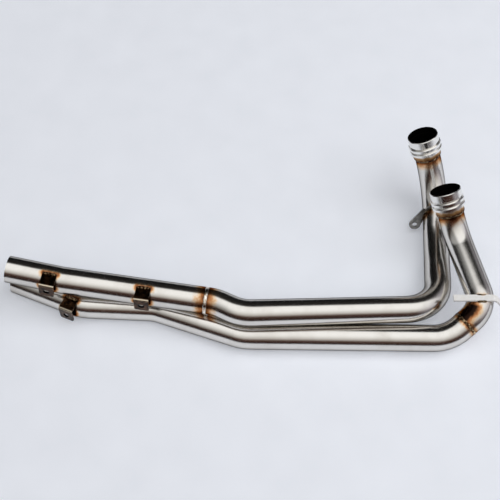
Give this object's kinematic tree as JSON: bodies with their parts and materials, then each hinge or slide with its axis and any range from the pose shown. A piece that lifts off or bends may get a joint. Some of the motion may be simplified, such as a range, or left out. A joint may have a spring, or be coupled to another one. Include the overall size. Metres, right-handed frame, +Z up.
{
  "type": "motorcycle exhaust header",
  "caption": "Bent polished steel exhaust header pipes lying one over the other, with grooved inlet spigots, weld beads, heat-shield brackets, a stay tab and a strap.",
  "frame": {"origin": "on the floor under the middle of the pair's bounding box", "axes": "+X along the runs from the tails to the inlet end, +Y away from the viewer, +Z up from the floor"},
  "size_m": [0.7815, 0.3692, 0.1426],
  "materials": {
    "polished_tube": "belt polished, tinted by heat near the welds",
    "turned_spigot": "turned and polished",
    "weld_bead": "bare rippled weld with straw and brown tint",
    "plate_steel": "brushed plate"
  },
  "bodies": {
    "root": {"lower_tail_pipe": "polished_tube", "lower_downpipe": "polished_tube", "upper_tail_pipe": "polished_tube", "upper_downpipe": "polished_tube", "lower_inlet_spigot": "turned_spigot", "upper_inlet_spigot": "turned_spigot", "lower_spigot_weld": "weld_bead", "upper_spigot_weld": "weld_bead", "lower_joint_weld": "weld_bead", "upper_joint_weld": "weld_bead", "upper_front_bracket_weld": "weld_bead", "upper_rear_bracket_weld": "weld_bead", "lower_bracket_weld": "weld_bead", "upper_stay_tab_weld": "weld_bead", "lower_stay_strap_weld": "weld_bead", "upper_front_shield_bracket": "plate_steel", "upper_rear_shield_bracket": "plate_steel", "lower_shield_bracket": "plate_steel", "upper_stay_tab": "plate_steel", "lower_stay_strap": "plate_steel"}
  },
  "joints": []
}
